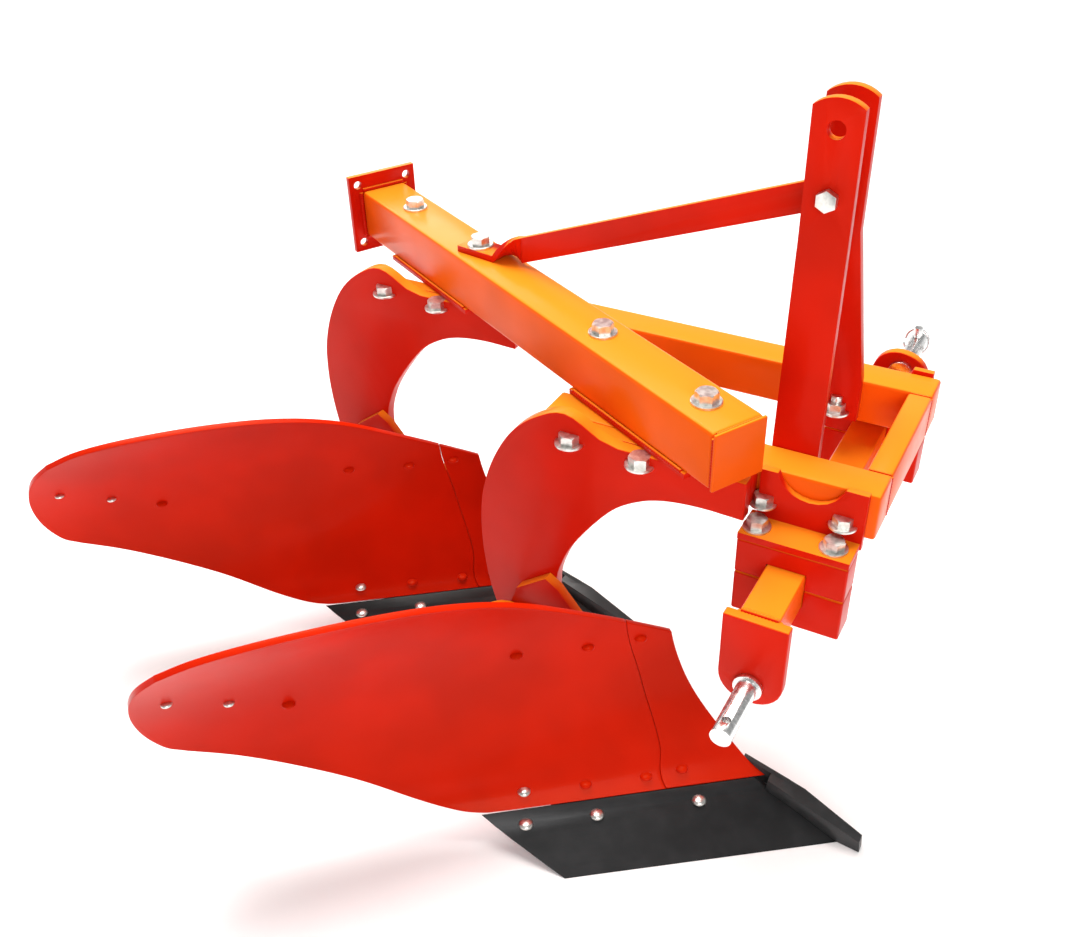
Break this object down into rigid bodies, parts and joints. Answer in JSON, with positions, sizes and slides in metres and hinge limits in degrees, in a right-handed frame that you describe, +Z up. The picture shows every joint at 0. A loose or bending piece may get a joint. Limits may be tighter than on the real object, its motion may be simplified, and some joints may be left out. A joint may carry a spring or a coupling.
{
  "type": "mouldboard plough",
  "caption": "Tractor-mounted mouldboard plough with a slanting beam, swan-neck standards, three-point hitch mast and a sliding cross shaft.",
  "frame": {"origin": "centre of the plough's box on the ground that it stands on", "axes": "+X forward in the direction of travel, +Y to the land (left) side, +Z up"},
  "size_m": [1.3134, 1.0444, 0.9929],
  "materials": {
    "red_paint": "gloss orange-red enamel",
    "orange_red_paint": "gloss orange-red enamel, slightly lighter on the square sections",
    "black_steel": "semi-gloss black over hardened steel, wears to bare metal",
    "zinc_steel": "zinc-plated, satin"
  },
  "bodies": {
    "plough": {"main_beam": "orange_red_paint", "beam_front_cap": "orange_red_paint", "beam_end_plate": "red_paint", "beam_pad_front": "red_paint", "beam_pad_rear": "red_paint", "frame_right_bar": "orange_red_paint", "frame_left_bar": "orange_red_paint", "frame_front_bar": "orange_red_paint", "mast_upright_right": "red_paint", "mast_upright_left": "red_paint", "mast_stay": "red_paint", "stay_bolt": "zinc_steel", "hitch_bracket_right": "red_paint", "hitch_bracket_left": "red_paint", "clamp_block_upper_right": "red_paint", "clamp_block_lower_right": "red_paint", "clamp_block_upper_left": "red_paint", "clamp_block_lower_left": "red_paint", "standard_web_front": "red_paint", "standard_front": "red_paint", "frog_front": "red_paint", "mouldboard_front": "red_paint", "shin_front": "red_paint", "share_front": "black_steel", "share_point_front": "black_steel", "landside_front": "black_steel", "mouldboard_brace_front": "red_paint", "standard_web_rear": "red_paint", "standard_rear": "red_paint", "frog_rear": "red_paint", "mouldboard_rear": "red_paint", "shin_rear": "red_paint", "share_rear": "black_steel", "share_point_rear": "black_steel", "landside_rear": "black_steel", "mouldboard_brace_rear": "red_paint"},
    "cross_shaft": {"cross_shaft": "orange_red_paint", "crank_arm_right": "red_paint", "crank_arm_left": "red_paint", "hitch_pin_right": "zinc_steel", "hitch_pin_left": "zinc_steel"}
  },
  "joints": [
    {"name": "cross_shaft_slide", "type": "slide", "parent": "plough", "child": "cross_shaft", "axis": [0, 1, 0], "range_m": [-0.03, 0.08]}
  ]
}
